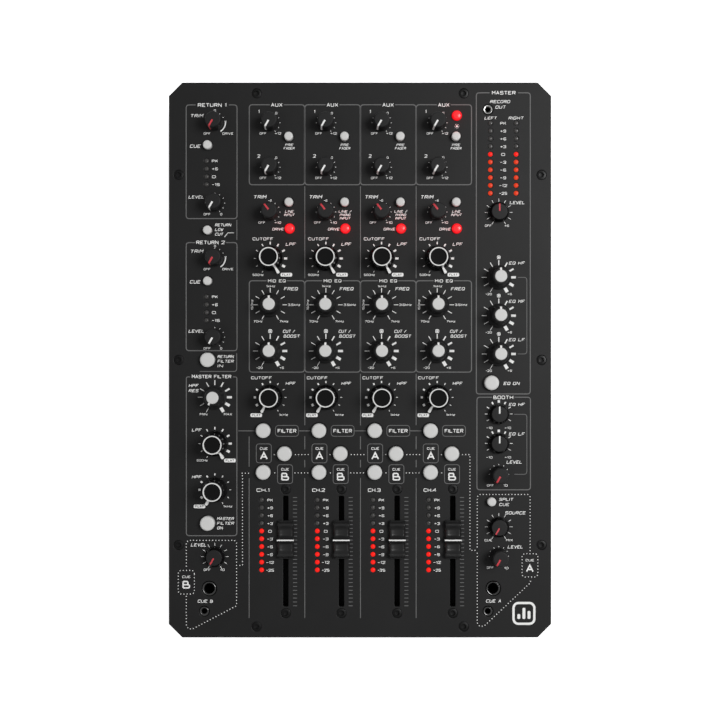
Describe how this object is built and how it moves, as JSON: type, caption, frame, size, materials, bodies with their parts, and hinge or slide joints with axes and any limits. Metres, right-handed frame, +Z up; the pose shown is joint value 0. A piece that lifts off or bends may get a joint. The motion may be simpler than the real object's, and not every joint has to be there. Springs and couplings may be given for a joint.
{
  "type": "dj mixer",
  "caption": "Black multi-channel DJ mixer with a flat face of rotary knobs, push buttons, sliding faders, level meters and headphone sockets.",
  "frame": {"origin": "middle of the footprint, on the surface the feet stand on", "axes": "+X to the operator's right, +Y to the rear panel, +Z up out of the control face"},
  "size_m": [0.2466, 0.358, 0.088],
  "materials": {
    "panel": "fine-textured black powder coat",
    "rubber": "matte",
    "circuit_board": "solder-masked laminate",
    "jack_metal": "nickel plate",
    "connector": "moulded",
    "knob": "soft-touch matte",
    "button": "satin white",
    "fader": "satin black"
  },
  "bodies": {
    "mixer": {"faceplate": "panel", "chassis_tray": "panel", "rear_panel": "panel", "control_board": "circuit_board", "input_board": "circuit_board", "jack_block": "connector", "power_supply": "circuit_board", "cue_a_jacks": "jack_metal", "cue_b_jacks": "jack_metal", "output_left": "connector", "output_right": "connector", "foot_front_left": "rubber", "foot_front_right": "rubber", "foot_rear_left": "rubber", "foot_rear_right": "rubber"},
    "channel_1_trim_knob_body": {"channel_1_trim_knob": "knob"},
    "channel_1_lpf_knob_body": {"channel_1_lpf_knob": "knob"},
    "channel_1_freq_knob_body": {"channel_1_freq_knob": "knob"},
    "channel_1_cut_boost_knob_body": {"channel_1_cut_boost_knob": "knob"},
    "channel_1_hpf_knob_body": {"channel_1_hpf_knob": "knob"},
    "channel_2_trim_knob_body": {"channel_2_trim_knob": "knob"},
    "channel_2_lpf_knob_body": {"channel_2_lpf_knob": "knob"},
    "channel_2_freq_knob_body": {"channel_2_freq_knob": "knob"},
    "channel_2_cut_boost_knob_body": {"channel_2_cut_boost_knob": "knob"},
    "channel_2_hpf_knob_body": {"channel_2_hpf_knob": "knob"},
    "channel_3_trim_knob_body": {"channel_3_trim_knob": "knob"},
    "channel_3_lpf_knob_body": {"channel_3_lpf_knob": "knob"},
    "channel_3_freq_knob_body": {"channel_3_freq_knob": "knob"},
    "channel_3_cut_boost_knob_body": {"channel_3_cut_boost_knob": "knob"},
    "channel_3_hpf_knob_body": {"channel_3_hpf_knob": "knob"},
    "channel_4_trim_knob_body": {"channel_4_trim_knob": "knob"},
    "channel_4_lpf_knob_body": {"channel_4_lpf_knob": "knob"},
    "channel_4_freq_knob_body": {"channel_4_freq_knob": "knob"},
    "channel_4_cut_boost_knob_body": {"channel_4_cut_boost_knob": "knob"},
    "channel_4_hpf_knob_body": {"channel_4_hpf_knob": "knob"},
    "master_filter_lpf_knob_body": {"master_filter_lpf_knob": "knob"},
    "master_filter_hpf_knob_body": {"master_filter_hpf_knob": "knob"},
    "master_level_knob_body": {"master_level_knob": "knob"},
    "master_eq_hf_knob_body": {"master_eq_hf_knob": "knob"},
    "master_eq_mf_knob_body": {"master_eq_mf_knob": "knob"},
    "master_eq_lf_knob_body": {"master_eq_lf_knob": "knob"},
    "channel_1_filter_button_body": {"channel_1_filter_button": "button"},
    "channel_1_cue_a_button_body": {"channel_1_cue_a_button": "button"},
    "channel_1_cue_b_button_body": {"channel_1_cue_b_button": "button"},
    "channel_2_filter_button_body": {"channel_2_filter_button": "button"},
    "channel_2_cue_a_button_body": {"channel_2_cue_a_button": "button"},
    "channel_2_cue_b_button_body": {"channel_2_cue_b_button": "button"},
    "channel_3_filter_button_body": {"channel_3_filter_button": "button"},
    "channel_3_cue_a_button_body": {"channel_3_cue_a_button": "button"},
    "channel_3_cue_b_button_body": {"channel_3_cue_b_button": "button"},
    "channel_4_filter_button_body": {"channel_4_filter_button": "button"},
    "channel_4_cue_a_button_body": {"channel_4_cue_a_button": "button"},
    "channel_4_cue_b_button_body": {"channel_4_cue_b_button": "button"},
    "master_filter_on_button_body": {"master_filter_on_button": "button"},
    "eq_on_button_body": {"eq_on_button": "button"},
    "channel_1_fader_body": {"channel_1_fader": "fader"},
    "channel_2_fader_body": {"channel_2_fader": "fader"},
    "channel_3_fader_body": {"channel_3_fader": "fader"},
    "channel_4_fader_body": {"channel_4_fader": "fader"},
    "power_rocker_body": {"power_rocker": "connector"}
  },
  "joints": [
    {"name": "channel_1_trim_turn", "type": "hinge", "parent": "mixer", "child": "channel_1_trim_knob_body", "pos_m": [-0.0579, 0.0954, 0.071], "axis": [0, 0, 1], "range_deg": [-188, 112]},
    {"name": "channel_1_lpf_turn", "type": "hinge", "parent": "mixer", "child": "channel_1_lpf_knob_body", "pos_m": [-0.0579, 0.0655, 0.071], "axis": [0, 0, 1], "range_deg": [0, 300]},
    {"name": "channel_1_freq_turn", "type": "hinge", "parent": "mixer", "child": "channel_1_freq_knob_body", "pos_m": [-0.0579, 0.0356, 0.071], "axis": [0, 0, 1], "range_deg": [-150, 150]},
    {"name": "channel_1_cut_boost_turn", "type": "hinge", "parent": "mixer", "child": "channel_1_cut_boost_knob_body", "pos_m": [-0.0579, 0.0058, 0.071], "axis": [0, 0, 1], "range_deg": [-150, 150]},
    {"name": "channel_1_hpf_turn", "type": "hinge", "parent": "mixer", "child": "channel_1_hpf_knob_body", "pos_m": [-0.0579, -0.0241, 0.071], "axis": [0, 0, 1], "range_deg": [-300, 0]},
    {"name": "channel_2_trim_turn", "type": "hinge", "parent": "mixer", "child": "channel_2_trim_knob_body", "pos_m": [-0.022, 0.0954, 0.071], "axis": [0, 0, 1], "range_deg": [-188, 112]},
    {"name": "channel_2_lpf_turn", "type": "hinge", "parent": "mixer", "child": "channel_2_lpf_knob_body", "pos_m": [-0.022, 0.0655, 0.071], "axis": [0, 0, 1], "range_deg": [0, 300]},
    {"name": "channel_2_freq_turn", "type": "hinge", "parent": "mixer", "child": "channel_2_freq_knob_body", "pos_m": [-0.022, 0.0356, 0.071], "axis": [0, 0, 1], "range_deg": [-150, 150]},
    {"name": "channel_2_cut_boost_turn", "type": "hinge", "parent": "mixer", "child": "channel_2_cut_boost_knob_body", "pos_m": [-0.022, 0.0058, 0.071], "axis": [0, 0, 1], "range_deg": [-150, 150]},
    {"name": "channel_2_hpf_turn", "type": "hinge", "parent": "mixer", "child": "channel_2_hpf_knob_body", "pos_m": [-0.022, -0.0241, 0.071], "axis": [0, 0, 1], "range_deg": [-300, 0]},
    {"name": "channel_3_trim_turn", "type": "hinge", "parent": "mixer", "child": "channel_3_trim_knob_body", "pos_m": [0.0139, 0.0954, 0.071], "axis": [0, 0, 1], "range_deg": [-188, 112]},
    {"name": "channel_3_lpf_turn", "type": "hinge", "parent": "mixer", "child": "channel_3_lpf_knob_body", "pos_m": [0.0139, 0.0655, 0.071], "axis": [0, 0, 1], "range_deg": [0, 300]},
    {"name": "channel_3_freq_turn", "type": "hinge", "parent": "mixer", "child": "channel_3_freq_knob_body", "pos_m": [0.0139, 0.0356, 0.071], "axis": [0, 0, 1], "range_deg": [-150, 150]},
    {"name": "channel_3_cut_boost_turn", "type": "hinge", "parent": "mixer", "child": "channel_3_cut_boost_knob_body", "pos_m": [0.0139, 0.0058, 0.071], "axis": [0, 0, 1], "range_deg": [-150, 150]},
    {"name": "channel_3_hpf_turn", "type": "hinge", "parent": "mixer", "child": "channel_3_hpf_knob_body", "pos_m": [0.0139, -0.0241, 0.071], "axis": [0, 0, 1], "range_deg": [-300, 0]},
    {"name": "channel_4_trim_turn", "type": "hinge", "parent": "mixer", "child": "channel_4_trim_knob_body", "pos_m": [0.0498, 0.0954, 0.071], "axis": [0, 0, 1], "range_deg": [-188, 112]},
    {"name": "channel_4_lpf_turn", "type": "hinge", "parent": "mixer", "child": "channel_4_lpf_knob_body", "pos_m": [0.0498, 0.0655, 0.071], "axis": [0, 0, 1], "range_deg": [0, 300]},
    {"name": "channel_4_freq_turn", "type": "hinge", "parent": "mixer", "child": "channel_4_freq_knob_body", "pos_m": [0.0498, 0.0356, 0.071], "axis": [0, 0, 1], "range_deg": [-150, 150]},
    {"name": "channel_4_cut_boost_turn", "type": "hinge", "parent": "mixer", "child": "channel_4_cut_boost_knob_body", "pos_m": [0.0498, 0.0058, 0.071], "axis": [0, 0, 1], "range_deg": [-150, 150]},
    {"name": "channel_4_hpf_turn", "type": "hinge", "parent": "mixer", "child": "channel_4_hpf_knob_body", "pos_m": [0.0498, -0.0241, 0.071], "axis": [0, 0, 1], "range_deg": [-300, 0]},
    {"name": "master_filter_lpf_turn", "type": "hinge", "parent": "mixer", "child": "master_filter_lpf_knob_body", "pos_m": [-0.0936, -0.0539, 0.071], "axis": [0, 0, 1], "range_deg": [0, 300]},
    {"name": "master_filter_hpf_turn", "type": "hinge", "parent": "mixer", "child": "master_filter_hpf_knob_body", "pos_m": [-0.0936, -0.0837, 0.071], "axis": [0, 0, 1], "range_deg": [-300, 0]},
    {"name": "master_level_turn", "type": "hinge", "parent": "mixer", "child": "master_level_knob_body", "pos_m": [0.0895, 0.0952, 0.071], "axis": [0, 0, 1], "range_deg": [-150, 150]},
    {"name": "master_eq_hf_turn", "type": "hinge", "parent": "mixer", "child": "master_eq_hf_knob_body", "pos_m": [0.0895, 0.0533, 0.071], "axis": [0, 0, 1], "range_deg": [-150, 150]},
    {"name": "master_eq_mf_turn", "type": "hinge", "parent": "mixer", "child": "master_eq_mf_knob_body", "pos_m": [0.0895, 0.0286, 0.071], "axis": [0, 0, 1], "range_deg": [-150, 150]},
    {"name": "master_eq_lf_turn", "type": "hinge", "parent": "mixer", "child": "master_eq_lf_knob_body", "pos_m": [0.0895, 0.0039, 0.071], "axis": [0, 0, 1], "range_deg": [-150, 150]},
    {"name": "channel_1_filter_press", "type": "slide", "parent": "mixer", "child": "channel_1_filter_button_body", "axis": [0, 0, -1], "range_m": [0, 0.0018], "stiffness_N_per_m": 400, "springref_m": -0.0005},
    {"name": "channel_1_cue_a_press", "type": "slide", "parent": "mixer", "child": "channel_1_cue_a_button_body", "axis": [0, 0, -1], "range_m": [0, 0.0018], "stiffness_N_per_m": 400, "springref_m": -0.0005},
    {"name": "channel_1_cue_b_press", "type": "slide", "parent": "mixer", "child": "channel_1_cue_b_button_body", "axis": [0, 0, -1], "range_m": [0, 0.0018], "stiffness_N_per_m": 400, "springref_m": -0.0005},
    {"name": "channel_2_filter_press", "type": "slide", "parent": "mixer", "child": "channel_2_filter_button_body", "axis": [0, 0, -1], "range_m": [0, 0.0018], "stiffness_N_per_m": 400, "springref_m": -0.0005},
    {"name": "channel_2_cue_a_press", "type": "slide", "parent": "mixer", "child": "channel_2_cue_a_button_body", "axis": [0, 0, -1], "range_m": [0, 0.0018], "stiffness_N_per_m": 400, "springref_m": -0.0005},
    {"name": "channel_2_cue_b_press", "type": "slide", "parent": "mixer", "child": "channel_2_cue_b_button_body", "axis": [0, 0, -1], "range_m": [0, 0.0018], "stiffness_N_per_m": 400, "springref_m": -0.0005},
    {"name": "channel_3_filter_press", "type": "slide", "parent": "mixer", "child": "channel_3_filter_button_body", "axis": [0, 0, -1], "range_m": [0, 0.0018], "stiffness_N_per_m": 400, "springref_m": -0.0005},
    {"name": "channel_3_cue_a_press", "type": "slide", "parent": "mixer", "child": "channel_3_cue_a_button_body", "axis": [0, 0, -1], "range_m": [0, 0.0018], "stiffness_N_per_m": 400, "springref_m": -0.0005},
    {"name": "channel_3_cue_b_press", "type": "slide", "parent": "mixer", "child": "channel_3_cue_b_button_body", "axis": [0, 0, -1], "range_m": [0, 0.0018], "stiffness_N_per_m": 400, "springref_m": -0.0005},
    {"name": "channel_4_filter_press", "type": "slide", "parent": "mixer", "child": "channel_4_filter_button_body", "axis": [0, 0, -1], "range_m": [0, 0.0018], "stiffness_N_per_m": 400, "springref_m": -0.0005},
    {"name": "channel_4_cue_a_press", "type": "slide", "parent": "mixer", "child": "channel_4_cue_a_button_body", "axis": [0, 0, -1], "range_m": [0, 0.0018], "stiffness_N_per_m": 400, "springref_m": -0.0005},
    {"name": "channel_4_cue_b_press", "type": "slide", "parent": "mixer", "child": "channel_4_cue_b_button_body", "axis": [0, 0, -1], "range_m": [0, 0.0018], "stiffness_N_per_m": 400, "springref_m": -0.0005},
    {"name": "master_filter_on_press", "type": "slide", "parent": "mixer", "child": "master_filter_on_button_body", "axis": [0, 0, -1], "range_m": [0, 0.0018], "stiffness_N_per_m": 400, "springref_m": -0.0005},
    {"name": "eq_on_press", "type": "slide", "parent": "mixer", "child": "eq_on_button_body", "axis": [0, 0, -1], "range_m": [0, 0.0018], "stiffness_N_per_m": 400, "springref_m": -0.0005},
    {"name": "channel_1_fader_slide", "type": "slide", "parent": "mixer", "child": "channel_1_fader_body", "axis": [0, 1, 0], "range_m": [-0.0378, 0.0222]},
    {"name": "channel_2_fader_slide", "type": "slide", "parent": "mixer", "child": "channel_2_fader_body", "axis": [0, 1, 0], "range_m": [-0.0378, 0.0222]},
    {"name": "channel_3_fader_slide", "type": "slide", "parent": "mixer", "child": "channel_3_fader_body", "axis": [0, 1, 0], "range_m": [-0.0378, 0.0222]},
    {"name": "channel_4_fader_slide", "type": "slide", "parent": "mixer", "child": "channel_4_fader_body", "axis": [0, 1, 0], "range_m": [-0.0378, 0.0222]},
    {"name": "power_switch", "type": "hinge", "parent": "mixer", "child": "power_rocker_body", "pos_m": [0.065, 0.1682, 0.032], "axis": [1, 0, 0], "range_deg": [-16, 0]}
  ]
}
